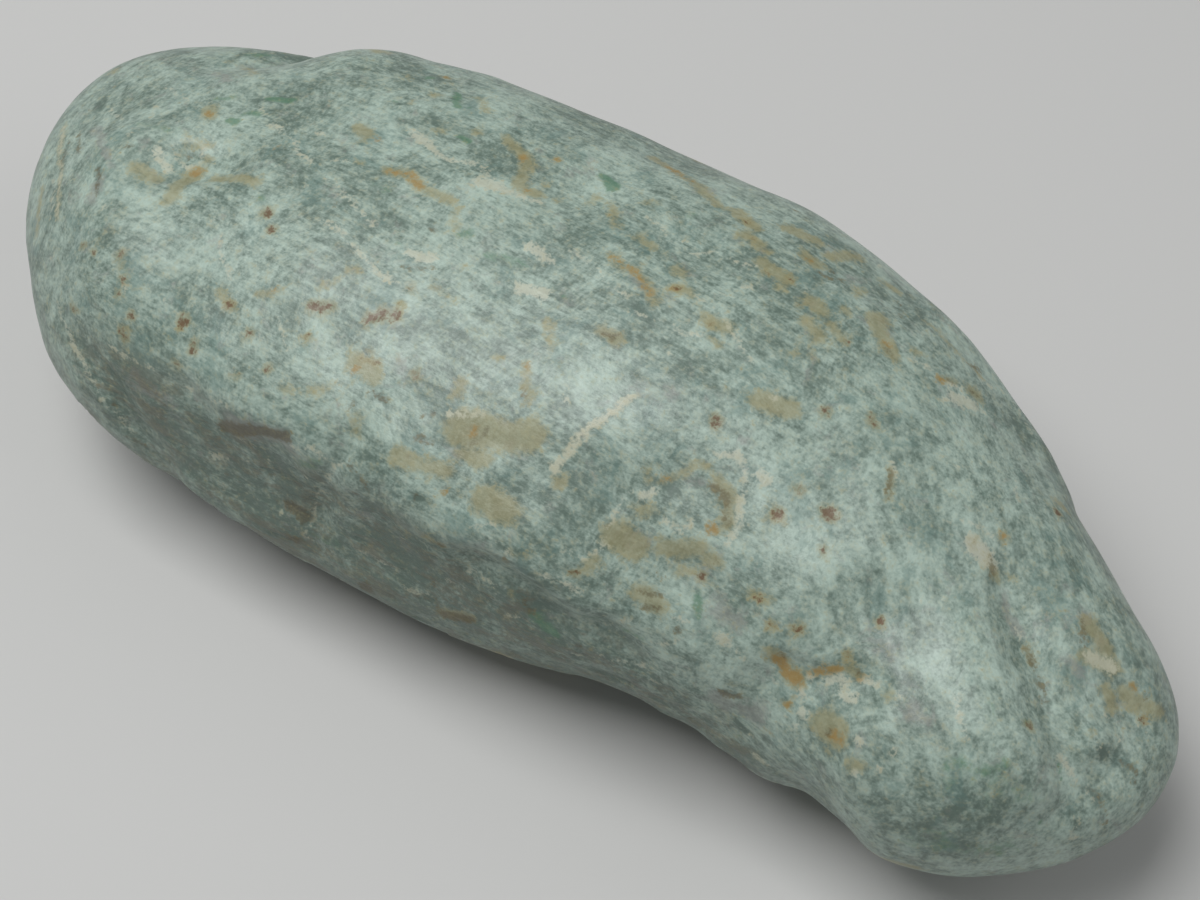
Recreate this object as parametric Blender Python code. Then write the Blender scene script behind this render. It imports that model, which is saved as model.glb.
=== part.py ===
"""A water-worn jadeite cobble: one solid stone, about 126 mm long, that lies on a small flat spot.

The stone is a loft along X: the blunt end at -X, the foot at +X, -Y to the front, +Z up.
A turn is an angle about X in degrees: 0 at the front, 90 on top, 180 at the back, 270 underneath.
Lengths are in metres.
"""

import bmesh
import bpy
import numpy as np

NAME = "jadeite_cobble"

# The loft's driving dimensions. Each row has a value at nine evenly spaced stations from -X to +X.
LENGTH = 0.127
SPINE_Y = (0.0032, -0.0010, 0.0008, 0.0012, 0.0025, 0.0034, 0.0013, -0.0040, -0.0037)
SPINE_Z = (0.0020, 0.0005, 0.0000, 0.0000, 0.0000, 0.0000, -0.0005, -0.0010, -0.0010)
HALF_WIDTH = (0.0290, 0.0287, 0.0282, 0.0264, 0.0260, 0.0248, 0.0233, 0.0230, 0.0208)
TOP_HEIGHT = (0.0185, 0.0197, 0.0213, 0.0215, 0.0215, 0.0210, 0.0190, 0.0175, 0.0160)
UNDER_DEPTH = (0.0170, 0.0180, 0.0185, 0.0185, 0.0185, 0.0180, 0.0175, 0.0170, 0.0160)
SECTION_POWER = 2.2
END_POWER = 2.3

# The resting spot: the underside is planed off this far up from its lowest point, with a soft rim.
FLAT_CUT = 0.0014
FLAT_RIM = 0.0004

# Grooves and ridges: a route of (station X, turn) points, the height at its middle, the half width.
# A height below zero cuts in.
FOLDS = {
    "front shoulder": (
        ((-0.044, 26), (-0.034, 28), (-0.016, 28), (0.004, 25), (0.018, 15), (0.030, 5)),
        0.0017, 0.0052,
    ),
    "flank hollow": (
        ((-0.036, 8), (-0.016, 8), (0.002, 6), (0.014, -2)),
        -0.0009, 0.0060,
    ),
    "blunt end ridge": (
        ((-0.053, 88), (-0.047, 62), (-0.042, 41), (-0.039, 20)),
        0.0007, 0.0045,
    ),
    "blunt end seam": (
        ((-0.045, 25), (-0.041, 17), (-0.036, 8), (-0.031, -6), (-0.028, -30)),
        -0.0008, 0.0020,
    ),
    "flank crack": (
        ((-0.010, 46), (-0.010, 36), (-0.011, 24), (-0.013, 8), (-0.014, -10)),
        -0.0007, 0.0016,
    ),
    "lobe seam": (
        ((-0.049, 112), (-0.046, 134), (-0.043, 150), (-0.039, 175), (-0.032, 200)),
        -0.0014, 0.0026,
    ),
    "foot fold": (
        ((0.038, 100), (0.043, 99), (0.047, 91), (0.050, 82), (0.054, 65), (0.058, 38), (0.060, 15)),
        -0.0016, 0.0026,
    ),
    "foot fold lip": (
        ((0.040, 84), (0.046, 74), (0.050, 60), (0.054, 38), (0.056, 20)),
        0.0007, 0.0035,
    ),
    "back step": (
        ((0.014, 152), (0.025, 145), (0.033, 150), (0.040, 157), (0.048, 164)),
        0.0005, 0.0020,
    ),
    "plane edge": (
        ((0.024, 104), (0.030, 88), (0.034, 74), (0.038, 58)),
        0.0004, 0.0030,
    ),
    "foliation ridge": (
        ((-0.030, 100), (-0.012, 96), (0.004, 92), (0.018, 90)),
        0.0003, 0.0034,
    ),
    "foliation groove": (
        ((-0.034, 112), (-0.016, 108), (0.002, 104), (0.016, 104)),
        -0.0003, 0.0030,
    ),
    "back rib": (
        ((-0.034, 190), (-0.012, 197), (0.012, 196), (0.034, 188)),
        0.0007, 0.0050,
    ),
    "back crack": (
        ((-0.002, 158), (0.001, 176), (-0.001, 200), (0.004, 224)),
        -0.0008, 0.0020,
    ),
    "under seam": (
        ((-0.050, 300), (-0.046, 270), (-0.047, 240), (-0.043, 215)),
        -0.0008, 0.0024,
    ),
    "under fold": (
        ((0.036, 326), (0.042, 300), (0.046, 270), (0.045, 244)),
        -0.0010, 0.0030,
    ),
}

# Ledges: a route of (station X, turn) points, how far the surface drops on its right-hand side
# seen from outside, and how far from the route the drop fades out.
LEDGES = {
    "flank step": (
        ((-0.035, 22), (-0.028, 24), (-0.022, 23), (-0.015, 22), (-0.009, 20)),
        0.0007, 0.0060,
    ),
    "ochre ledge": (
        ((0.028, 30), (0.032, 30), (0.035, 34), (0.038, 41), (0.042, 46)),
        0.0011, 0.0080,
    ),
    "scallop ledge": (
        ((0.001, 22), (0.006, 21), (0.011, 17), (0.016, 17), (0.021, 12)),
        0.0006, 0.0050,
    ),
    "heel ledge": (
        ((0.030, 218), (0.036, 232), (0.038, 250), (0.036, 268)),
        0.0009, 0.0080,
    ),
}

# Hollows and swellings: station X, turn, half length, half width, the long axis's slant from X, height.
DENTS = {
    "blunt end dent": (-0.0400, 75, 0.0050, 0.0032, 30, -0.0013),
    "blunt end swelling": (-0.0460, 55, 0.0100, 0.0080, 0, 0.0006),
    "blunt end top": (-0.0600, 60, 0.0080, 0.0080, 0, 0.0004),
    "blunt end back": (-0.0575, 150, 0.0060, 0.0060, 0, -0.0005),
    "lobe shoulder": (-0.0370, 140, 0.0050, 0.0045, 0, 0.0006),
    "crest swelling": (-0.0180, 50, 0.0160, 0.0090, 0, 0.0006),
    "flank base": (-0.0150, -14, 0.0150, 0.0060, 0, 0.0007),
    "waist": (0.0155, -14, 0.0045, 0.0060, 0, -0.0006),
    "toe": (0.0300, -18, 0.0040, 0.0060, 0, 0.0009),
    "chip ring": (0.0190, 42, 0.0074, 0.0060, 20, -0.0008),
    "chip ring core": (0.0190, 44, 0.0036, 0.0030, 20, 0.0006),
    "scallop 1": (0.0050, 17, 0.0038, 0.0022, 0, -0.0009),
    "scallop 2": (0.0115, 14, 0.0040, 0.0023, -10, -0.0009),
    "scallop 3": (0.0175, 13, 0.0032, 0.0020, -15, -0.0008),
    "heel notch": (0.0385, -12, 0.0070, 0.0042, 90, -0.0010),
    "foot swelling": (0.0470, 30, 0.0085, 0.0080, 0, 0.0008),
    "foot valley": (0.0370, 52, 0.0080, 0.0045, 60, -0.0007),
    "foot tip": (0.0634, -10, 0.0110, 0.0100, 0, -0.0010),
    "foot back chip": (0.0565, 96, 0.0042, 0.0030, 0, -0.0010),
    "foot side chip": (0.0590, 60, 0.0030, 0.0022, 70, -0.0008),
    "back knuckle": (0.0400, 154, 0.0045, 0.0040, 0, 0.0004),
    "back hollow": (-0.0180, 168, 0.0110, 0.0060, 10, -0.0009),
    "back scoop": (0.0240, 176, 0.0080, 0.0045, -15, -0.0011),
    "back pit 1": (-0.0300, 150, 0.0028, 0.0022, 0, -0.0009),
    "back pit 2": (0.0090, 214, 0.0030, 0.0024, 30, -0.0009),
    "back chip": (0.0460, 188, 0.0038, 0.0028, 40, -0.0011),
    "under hollow": (0.0330, 285, 0.0080, 0.0060, 0, -0.0010),
    "under pit": (-0.0390, 262, 0.0034, 0.0026, 0, -0.0009),
}

# The share of a route over which it fades out at each end.
FADE_SHARE = 0.3

# Slow swells over the whole stone, as (wavelength, height) of seeded waves.
SWELLS = ((0.036, 0.00022), (0.018, 0.00013), (0.009, 0.00008))
WAVES_PER_SWELL = 6
SWELL_SEED = 4

# How far the routes and hollows wander from their plain lines, as (wavelength, distance) of seeded waves.
WANDERS = ((0.0110, 0.0005), (0.0045, 0.0002))
WANDER_SEED = 11

# Mesh density: facets round the turn and rings along the length.
FACETS = 76
RINGS = 62
PROFILE_SAMPLES = 2001

JADEITE_COLOUR = (0.27, 0.36, 0.31, 1.0)
JADEITE_ROUGHNESS = 0.42


def station_curve(values, along):
    """A natural cubic spline through evenly spaced station values, read at along from -1 to 1."""
    values = np.array(values)
    count = len(values)
    system = 4.0 * np.eye(count) + np.eye(count, k=1) + np.eye(count, k=-1)
    system[0] = np.eye(count)[0]
    system[-1] = np.eye(count)[-1]
    bends = np.zeros(count)
    bends[1:-1] = 6.0 * (values[:-2] - 2.0 * values[1:-1] + values[2:])
    bends = np.linalg.solve(system, bends)
    place = (along + 1.0) / 2.0 * (count - 1)
    left = np.clip(place.astype(int), 0, count - 2)
    u = place - left
    line = (1.0 - u) * values[left] + u * values[left + 1]
    curl = ((1.0 - u) ** 3 - (1.0 - u)) * bends[left] + (u**3 - u) * bends[left + 1]
    return line + curl / 6.0


def end_taper(along):
    """How much of the full section is left towards the two rounded ends."""
    return np.maximum(1.0 - np.abs(along) ** END_POWER, 0.0) ** (1.0 / END_POWER)


def body(along, turn):
    """The plain worn body: a superellipse section carried along the spine. Turn is in radians."""
    across = np.cos(turn)
    upward = np.sin(turn)
    width = station_curve(HALF_WIDTH, along)
    height = np.where(upward > 0.0, station_curve(TOP_HEIGHT, along), station_curve(UNDER_DEPTH, along))
    reach = (np.abs(across / width) ** SECTION_POWER + np.abs(upward / height) ** SECTION_POWER)
    reach = reach ** (-1.0 / SECTION_POWER) * end_taper(along)
    x = along * LENGTH / 2.0
    y = station_curve(SPINE_Y, along) - reach * across
    z = station_curve(SPINE_Z, along) + reach * upward
    return np.stack([x, y, z], axis=-1)


def unit(vectors):
    return vectors / np.linalg.norm(vectors, axis=-1, keepdims=True)


def outward(along, turn):
    """The body's unit normal, from the slopes of the surface along the length and round the turn."""
    step = 1e-3
    along = np.clip(along, -1.0 + 2.0 * step, 1.0 - 2.0 * step)
    lengthwise = body(along + step, turn) - body(along - step, turn)
    round_the_turn = body(along, turn + step) - body(along, turn - step)
    return unit(np.cross(lengthwise, round_the_turn))


def on_body(route):
    """The points and normals on the body of a route of (station X, turn in degrees) points."""
    stations, turns = np.array(route, dtype=float).T
    along = stations / (LENGTH / 2.0)
    return body(along, np.radians(turns)), outward(along, np.radians(turns))


def beside(points, route):
    """For each point: its distance from the route, its signed distance to the route's right-hand side
    seen from outside, and a fade that is 1 along the route and 0 at its two ends."""
    corners, normals = on_body(route)
    lengths = np.linalg.norm(np.diff(corners, axis=0), axis=1)
    starts = np.concatenate([[0.0], np.cumsum(lengths)])
    nearest = np.full(len(points), np.inf)
    side = np.zeros(len(points))
    travel = np.zeros(len(points))
    for i, length in enumerate(lengths):
        ahead = (corners[i + 1] - corners[i]) / length
        right = unit(np.cross(ahead, normals[i] + normals[i + 1]))
        part = np.clip((points - corners[i]) @ ahead, 0.0, length)
        offset = points - (corners[i] + part[:, None] * ahead)
        distance = np.linalg.norm(offset, axis=1)
        closer = distance < nearest
        nearest = np.where(closer, distance, nearest)
        side = np.where(closer, offset @ right, side)
        travel = np.where(closer, starts[i] + part, travel)
    share = travel / starts[-1]
    fade = np.clip(np.minimum(share, 1.0 - share) / FADE_SHARE, 0.0, 1.0)
    return nearest, side, fade * fade * (3.0 - 2.0 * fade)


def fold_height(points, route, height, half_width):
    nearest, _, fade = beside(points, route)
    return height * fade * np.exp(-((nearest / half_width) ** 2))


def ledge_height(points, route, drop, reach):
    """A step down to the right of the route, which rises back to the body over the reach."""
    nearest, side, fade = beside(points, route)
    edge = 0.5 + 0.5 * np.tanh(side / (0.15 * reach))
    return -drop * fade * edge * np.exp(-((nearest / reach) ** 2))


def dent_height(points, station, turn, half_length, half_width, slant, height):
    """A round-bottomed oval whose long axis lies at the slant from X, turning towards the top."""
    middle, normal = on_body([(station, turn)])
    lengthwise = unit(np.array([1.0, 0.0, 0.0]) - normal[0] * normal[0, 0])
    crosswise = np.cross(normal[0], lengthwise)
    slant = np.radians(slant)
    offset = points - middle[0]
    along = offset @ (np.cos(slant) * lengthwise + np.sin(slant) * crosswise)
    across = offset @ (np.cos(slant) * crosswise - np.sin(slant) * lengthwise)
    deep = offset @ normal[0]
    spread = (along / half_length) ** 2 + (across / half_width) ** 2 + (deep / half_length) ** 2
    return height * np.exp(-(spread**1.5))


def waves(points, sizes, random):
    """An irregular swell: for each (wavelength, height), a few plane waves with seeded headings."""
    total = np.zeros(len(points))
    for wavelength, height in sizes:
        for _ in range(WAVES_PER_SWELL):
            heading = unit(random.normal(size=3))
            shift = random.uniform(0.0, 2.0 * np.pi)
            wave = np.sin(2.0 * np.pi * (points @ heading) / wavelength + shift)
            total += height * wave / np.sqrt(WAVES_PER_SWELL)
    return total


def wandered(points):
    """The points moved a little by seeded waves on each axis, so that worn edges aren't ruled lines."""
    random = np.random.default_rng(WANDER_SEED)
    return points + np.stack([waves(points, WANDERS, random) for _ in range(3)], axis=-1)


def relief(points):
    """How far each point of the body is carried along its normal by all of the stone's local forms."""
    total = waves(points, SWELLS, np.random.default_rng(SWELL_SEED))
    points = wandered(points)
    for route, height, half_width in FOLDS.values():
        total += fold_height(points, route, height, half_width)
    for route, drop, reach in LEDGES.values():
        total += ledge_height(points, route, drop, reach)
    for dent in DENTS.values():
        total += dent_height(points, *dent)
    return total


def even_stations(share):
    """Stations from -1 to 1 that space the rings evenly over the surface from end to end."""
    along = -np.cos(np.linspace(0.0, np.pi, PROFILE_SAMPLES))
    outline = np.stack([along * LENGTH / 2.0, np.mean(HALF_WIDTH) * end_taper(along)])
    travelled = np.concatenate([[0.0], np.cumsum(np.linalg.norm(np.diff(outline), axis=0))])
    return np.interp(share * travelled[-1], travelled, along)


def planed(points):
    """The underside brought down to one flat spot at height 0, with a soft rim round it."""
    height = points[:, 2] - points[:, 2].min() - FLAT_CUT
    rim = (height + FLAT_RIM) ** 2 / (4.0 * FLAT_RIM)
    height = np.where(np.abs(height) < FLAT_RIM, rim, np.maximum(height, 0.0))
    return np.stack([points[:, 0], points[:, 1], height], axis=-1)


def centred(points):
    """The points moved in plan, so that the origin is at the middle of their box."""
    middle = (points.min(axis=0) + points.max(axis=0)) / 2.0
    return points - np.array([middle[0], middle[1], 0.0])


def carry_over(ball):
    """Carries a unit ball's vertices, poles on Z, to the stone's surface, poles at its two ends."""
    share = np.arccos(np.clip(ball[:, 2], -1.0, 1.0)) / np.pi
    along = even_stations(share)
    turn = np.arctan2(ball[:, 1], ball[:, 0])
    points = body(along, turn)
    points = points + outward(along, turn) * relief(points)[:, None]
    return centred(planed(points))


def jadeite():
    material = bpy.data.materials.new("jadeite")
    material.use_nodes = True
    shader = material.node_tree.nodes["Principled BSDF"]
    shader.inputs["Base Color"].default_value = JADEITE_COLOUR
    shader.inputs["Roughness"].default_value = JADEITE_ROUGHNESS
    shader.inputs["Metallic"].default_value = 0.0
    return material


def cobble():
    mesh = bpy.data.meshes.new(NAME)
    ball = bmesh.new()
    bmesh.ops.create_uvsphere(ball, u_segments=FACETS, v_segments=RINGS, radius=1.0)
    bmesh.ops.triangulate(ball, faces=ball.faces)
    ball.to_mesh(mesh)
    ball.free()
    points = np.empty(len(mesh.vertices) * 3)
    mesh.vertices.foreach_get("co", points)
    mesh.vertices.foreach_set("co", carry_over(points.reshape(-1, 3)).ravel())
    mesh.update()
    mesh.shade_smooth()
    mesh.materials.append(jadeite())
    return bpy.data.objects.new(NAME, mesh)


for leftover in list(bpy.data.objects):
    bpy.data.objects.remove(leftover, do_unlink=True)

collection = bpy.data.collections.new(NAME)
bpy.context.scene.collection.children.link(collection)
collection.objects.link(cobble())
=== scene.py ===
import itertools
import math

import bpy
import numpy as np
from mathutils import Matrix


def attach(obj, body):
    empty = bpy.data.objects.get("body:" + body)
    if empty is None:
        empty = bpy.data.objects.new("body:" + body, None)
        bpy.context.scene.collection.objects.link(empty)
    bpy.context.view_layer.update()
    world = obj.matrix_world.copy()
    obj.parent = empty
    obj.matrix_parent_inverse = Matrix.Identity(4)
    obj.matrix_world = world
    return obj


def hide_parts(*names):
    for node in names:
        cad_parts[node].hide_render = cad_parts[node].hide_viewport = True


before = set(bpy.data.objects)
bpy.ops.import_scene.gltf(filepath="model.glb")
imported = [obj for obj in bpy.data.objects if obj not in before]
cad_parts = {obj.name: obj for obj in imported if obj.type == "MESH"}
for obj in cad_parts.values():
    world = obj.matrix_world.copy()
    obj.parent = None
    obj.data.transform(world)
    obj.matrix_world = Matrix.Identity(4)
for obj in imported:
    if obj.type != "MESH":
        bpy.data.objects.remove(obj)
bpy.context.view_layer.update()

MM = 0.001

# The camera. It is a short tele lens that looks down at the stone's front, turned towards its blunt end.
# It comes first because the stone's stains, pits and veins are placed through it: each is carried along
# the sight line of a pixel until it meets the stone.
PICTURE_WIDTH = 1200
PICTURE_HEIGHT = 900
LENS = 70.0
SENSOR = 36.0
AZIMUTH = math.radians(34.0)
ELEVATION = math.radians(55.0)
TARGET = np.array([0.00355, -0.00355, 0.0170])
DISTANCE = 0.219
PIXELS_PER_SLOPE = LENS / SENSOR * PICTURE_WIDTH

backward = np.array([
    math.sin(AZIMUTH) * math.cos(ELEVATION),
    -math.cos(AZIMUTH) * math.cos(ELEVATION),
    math.sin(ELEVATION),
])
rightward = np.array([math.cos(AZIMUTH), math.sin(AZIMUTH), 0.0])
upward = np.cross(backward, rightward)
eye = TARGET + DISTANCE * backward

lens = bpy.data.cameras.new("camera")
lens.lens = LENS
lens.sensor_width = SENSOR
lens.clip_start = 1.0 * MM
camera = bpy.data.objects.new("camera", lens)
camera.matrix_world = Matrix([
    (rightward[i], upward[i], backward[i], eye[i]) for i in range(3)
] + [(0.0, 0.0, 0.0, 1.0)])
bpy.context.scene.collection.objects.link(camera)
bpy.context.scene.camera = camera

# The cobble. It is one piece of rough jadeite, a hard, tough stone of interlocking grains.
# A river has worn it smooth, except for chips, seams and a scaly flank where its foliation comes out,
# and iron from the river bed has stained the pits and chips ochre and rust brown.

# The worn body is a superellipse section carried along a bent spine, the blunt end at -X, the foot at +X,
# -Y to the front. Each row has a value at nine evenly spaced stations. These are the solid's own values.
LENGTH = 0.127
SPINE_Y = (0.0032, -0.0010, 0.0008, 0.0012, 0.0025, 0.0034, 0.0013, -0.0040, -0.0037)
SPINE_Z = (0.0020, 0.0005, 0.0000, 0.0000, 0.0000, 0.0000, -0.0005, -0.0010, -0.0010)
HALF_WIDTH = (0.0290, 0.0287, 0.0282, 0.0264, 0.0260, 0.0248, 0.0233, 0.0230, 0.0208)
TOP_HEIGHT = (0.0185, 0.0197, 0.0213, 0.0215, 0.0215, 0.0210, 0.0190, 0.0175, 0.0160)
UNDER_DEPTH = (0.0170, 0.0180, 0.0185, 0.0185, 0.0185, 0.0180, 0.0175, 0.0170, 0.0160)
SECTION_POWER = 2.2
END_POWER = 2.3
FLAT_CUT = 0.0014
FLAT_RIM = 0.0004

# Grooves and ridges: a route of (station X, turn) points, the height at its middle, the half width.
FOLDS = (
    (((-0.044, 26), (-0.034, 28), (-0.016, 28), (0.004, 25), (0.018, 15), (0.030, 5)), 0.0017, 0.0052),
    (((-0.036, 8), (-0.016, 8), (0.002, 6), (0.014, -2)), -0.0009, 0.0060),
    (((-0.053, 88), (-0.047, 62), (-0.042, 41), (-0.039, 20)), 0.0007, 0.0045),
    (((-0.045, 25), (-0.041, 17), (-0.036, 8), (-0.031, -6), (-0.028, -30)), -0.0008, 0.0020),
    (((-0.010, 46), (-0.010, 36), (-0.011, 24), (-0.013, 8), (-0.014, -10)), -0.0007, 0.0016),
    (((-0.049, 112), (-0.046, 134), (-0.043, 150), (-0.039, 175), (-0.032, 200)), -0.0014, 0.0026),
    (
        ((0.038, 100), (0.043, 99), (0.047, 91), (0.050, 82), (0.054, 65), (0.058, 38), (0.060, 15)),
        -0.0016, 0.0026,
    ),
    (((0.040, 84), (0.046, 74), (0.050, 60), (0.054, 38), (0.056, 20)), 0.0007, 0.0035),
    (((0.014, 152), (0.025, 145), (0.033, 150), (0.040, 157), (0.048, 164)), 0.0005, 0.0020),
    (((0.024, 104), (0.030, 88), (0.034, 74), (0.038, 58)), 0.0004, 0.0030),
    (((-0.030, 100), (-0.012, 96), (0.004, 92), (0.018, 90)), 0.0003, 0.0034),
    (((-0.034, 112), (-0.016, 108), (0.002, 104), (0.016, 104)), -0.0003, 0.0030),
    (((-0.034, 190), (-0.012, 197), (0.012, 196), (0.034, 188)), 0.0007, 0.0050),
    (((-0.002, 158), (0.001, 176), (-0.001, 200), (0.004, 224)), -0.0008, 0.0020),
    (((-0.050, 300), (-0.046, 270), (-0.047, 240), (-0.043, 215)), -0.0008, 0.0024),
    (((0.036, 326), (0.042, 300), (0.046, 270), (0.045, 244)), -0.0010, 0.0030),
)
# Ledges: a route, how far the surface drops on its right-hand side, how far the drop reaches.
LEDGES = (
    (((-0.035, 22), (-0.028, 24), (-0.022, 23), (-0.015, 22), (-0.009, 20)), 0.0007, 0.0060),
    (((0.028, 30), (0.032, 30), (0.035, 34), (0.038, 41), (0.042, 46)), 0.0011, 0.0080),
    (((0.001, 22), (0.006, 21), (0.011, 17), (0.016, 17), (0.021, 12)), 0.0006, 0.0050),
    (((0.030, 218), (0.036, 232), (0.038, 250), (0.036, 268)), 0.0009, 0.0080),
)
# Hollows and swellings: station X, turn, half length, half width, the long axis's slant, height.
DENTS = (
    (-0.0400, 75, 0.0050, 0.0032, 30, -0.0013),
    (-0.0460, 55, 0.0100, 0.0080, 0, 0.0006),
    (-0.0600, 60, 0.0080, 0.0080, 0, 0.0004),
    (-0.0575, 150, 0.0060, 0.0060, 0, -0.0005),
    (-0.0370, 140, 0.0050, 0.0045, 0, 0.0006),
    (-0.0180, 50, 0.0160, 0.0090, 0, 0.0006),
    (-0.0150, -14, 0.0150, 0.0060, 0, 0.0007),
    (0.0155, -14, 0.0045, 0.0060, 0, -0.0006),
    (0.0300, -18, 0.0040, 0.0060, 0, 0.0009),
    (0.0190, 42, 0.0074, 0.0060, 20, -0.0008),
    (0.0190, 44, 0.0036, 0.0030, 20, 0.0006),
    (0.0050, 17, 0.0038, 0.0022, 0, -0.0009),
    (0.0115, 14, 0.0040, 0.0023, -10, -0.0009),
    (0.0175, 13, 0.0032, 0.0020, -15, -0.0008),
    (0.0385, -12, 0.0070, 0.0042, 90, -0.0010),
    (0.0470, 30, 0.0085, 0.0080, 0, 0.0008),
    (0.0370, 52, 0.0080, 0.0045, 60, -0.0007),
    (0.0634, -10, 0.0110, 0.0100, 0, -0.0010),
    (0.0565, 96, 0.0042, 0.0030, 0, -0.0010),
    (0.0590, 60, 0.0030, 0.0022, 70, -0.0008),
    (0.0400, 154, 0.0045, 0.0040, 0, 0.0004),
    (-0.0180, 168, 0.0110, 0.0060, 10, -0.0009),
    (0.0240, 176, 0.0080, 0.0045, -15, -0.0011),
    (-0.0300, 150, 0.0028, 0.0022, 0, -0.0009),
    (0.0090, 214, 0.0030, 0.0024, 30, -0.0009),
    (0.0460, 188, 0.0038, 0.0028, 40, -0.0011),
    (0.0330, 285, 0.0080, 0.0060, 0, -0.0010),
    (-0.0390, 262, 0.0034, 0.0026, 0, -0.0009),
)
FADE_SHARE = 0.3
SWELLS = ((0.036, 0.00022), (0.018, 0.00013), (0.009, 0.00008))
WAVES_PER_SWELL = 6
SWELL_SEED = 4
WANDERS = ((0.0110, 0.0005), (0.0045, 0.0002))
WANDER_SEED = 11


def station_curve(values, along):
    """A natural cubic spline through evenly spaced station values, read at along from -1 to 1."""
    values = np.array(values)
    count = len(values)
    system = 4.0 * np.eye(count) + np.eye(count, k=1) + np.eye(count, k=-1)
    system[0] = np.eye(count)[0]
    system[-1] = np.eye(count)[-1]
    bends = np.zeros(count)
    bends[1:-1] = 6.0 * (values[:-2] - 2.0 * values[1:-1] + values[2:])
    bends = np.linalg.solve(system, bends)
    place = (along + 1.0) / 2.0 * (count - 1)
    left = np.clip(place.astype(int), 0, count - 2)
    u = place - left
    line = (1.0 - u) * values[left] + u * values[left + 1]
    curl = ((1.0 - u) ** 3 - (1.0 - u)) * bends[left] + (u**3 - u) * bends[left + 1]
    return line + curl / 6.0


def end_taper(along):
    """The share of the full section that is left: (1 - |along|^p)^(1/p), round at both ends."""
    return np.maximum(1.0 - np.abs(along) ** END_POWER, 0.0) ** (1.0 / END_POWER)


def body(along, turn):
    """The plain worn body: |y/width|^p + |z/height|^p = taper^p round the spine. Turn is in radians."""
    across = np.cos(turn)
    above = np.sin(turn)
    width = station_curve(HALF_WIDTH, along)
    height = np.where(above > 0.0, station_curve(TOP_HEIGHT, along), station_curve(UNDER_DEPTH, along))
    reach = np.abs(across / width) ** SECTION_POWER + np.abs(above / height) ** SECTION_POWER
    reach = reach ** (-1.0 / SECTION_POWER) * end_taper(along)
    x = along * LENGTH / 2.0
    y = station_curve(SPINE_Y, along) - reach * across
    z = station_curve(SPINE_Z, along) + reach * above
    return np.stack([x, y, z], axis=-1)


def unit(vectors):
    return vectors / np.linalg.norm(vectors, axis=-1, keepdims=True)


def outward(along, turn):
    """The body's unit normal: the slope along the length crossed with the slope round the turn."""
    step = 1e-3
    along = np.clip(along, -1.0 + 2.0 * step, 1.0 - 2.0 * step)
    lengthwise = body(along + step, turn) - body(along - step, turn)
    round_the_turn = body(along, turn + step) - body(along, turn - step)
    return unit(np.cross(lengthwise, round_the_turn))


def on_body(route):
    """The points and normals on the body of a route of (station X, turn in degrees) points."""
    stations, turns = np.array(route, dtype=float).T
    along = stations / (LENGTH / 2.0)
    return body(along, np.radians(turns)), outward(along, np.radians(turns))


def beside(points, corners, normals):
    """For each point: its distance from the line through the corners, its signed distance to the line's
    right-hand side seen from outside, and its travel along the line, as a share from 0 to 1."""
    lengths = np.linalg.norm(np.diff(corners, axis=0), axis=1)
    starts = np.concatenate([[0.0], np.cumsum(lengths)])
    nearest = np.full(len(points), np.inf)
    side = np.zeros(len(points))
    travel = np.zeros(len(points))
    for i, length in enumerate(lengths):
        ahead = (corners[i + 1] - corners[i]) / length
        right = unit(np.cross(ahead, normals[i] + normals[i + 1]))
        part = np.clip((points - corners[i]) @ ahead, 0.0, length)
        offset = points - (corners[i] + part[:, None] * ahead)
        distance = np.linalg.norm(offset, axis=1)
        closer = distance < nearest
        nearest = np.where(closer, distance, nearest)
        side = np.where(closer, offset @ right, side)
        travel = np.where(closer, starts[i] + part, travel)
    return nearest, side, travel / starts[-1]


def faded(share, ends=FADE_SHARE):
    """A smooth step up over the first share of a line and down over its last."""
    fade = np.clip(np.minimum(share, 1.0 - share) / ends, 0.0, 1.0)
    return fade * fade * (3.0 - 2.0 * fade)


def fold_height(points, route, height, half_width):
    """height x exp(-(distance / half width)^2), faded out at both ends of the route."""
    nearest, _, share = beside(points, *on_body(route))
    return height * faded(share) * np.exp(-((nearest / half_width) ** 2))


def ledge_height(points, route, drop, reach):
    """A step down to the right of the route, a tanh across it, which rises back over the reach."""
    nearest, side, share = beside(points, *on_body(route))
    edge = 0.5 + 0.5 * np.tanh(side / (0.15 * reach))
    return -drop * faded(share) * edge * np.exp(-((nearest / reach) ** 2))


def dent_height(points, station, turn, half_length, half_width, slant, height):
    """height x exp(-r^3), where r is the distance from the middle over the oval's own half sizes."""
    middle, normal = on_body([(station, turn)])
    lengthwise = unit(np.array([1.0, 0.0, 0.0]) - normal[0] * normal[0, 0])
    crosswise = np.cross(normal[0], lengthwise)
    slant = np.radians(slant)
    offset = points - middle[0]
    along = offset @ (np.cos(slant) * lengthwise + np.sin(slant) * crosswise)
    across = offset @ (np.cos(slant) * crosswise - np.sin(slant) * lengthwise)
    deep = offset @ normal[0]
    spread = (along / half_length) ** 2 + (across / half_width) ** 2 + (deep / half_length) ** 2
    return height * np.exp(-(spread**1.5))


def waves(points, sizes, random):
    """A sum of sines: for each (wavelength, height), a few plane waves with seeded headings."""
    total = np.zeros(len(points))
    for wavelength, height in sizes:
        for _ in range(WAVES_PER_SWELL):
            heading = unit(random.normal(size=3))
            shift = random.uniform(0.0, 2.0 * np.pi)
            wave = np.sin(2.0 * np.pi * (points @ heading) / wavelength + shift)
            total += height * wave / np.sqrt(WAVES_PER_SWELL)
    return total


def wandered(points):
    """The points moved a little by seeded waves on each axis, so that worn edges aren't ruled lines."""
    random = np.random.default_rng(WANDER_SEED)
    return points + np.stack([waves(points, WANDERS, random) for _ in range(3)], axis=-1)


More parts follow.
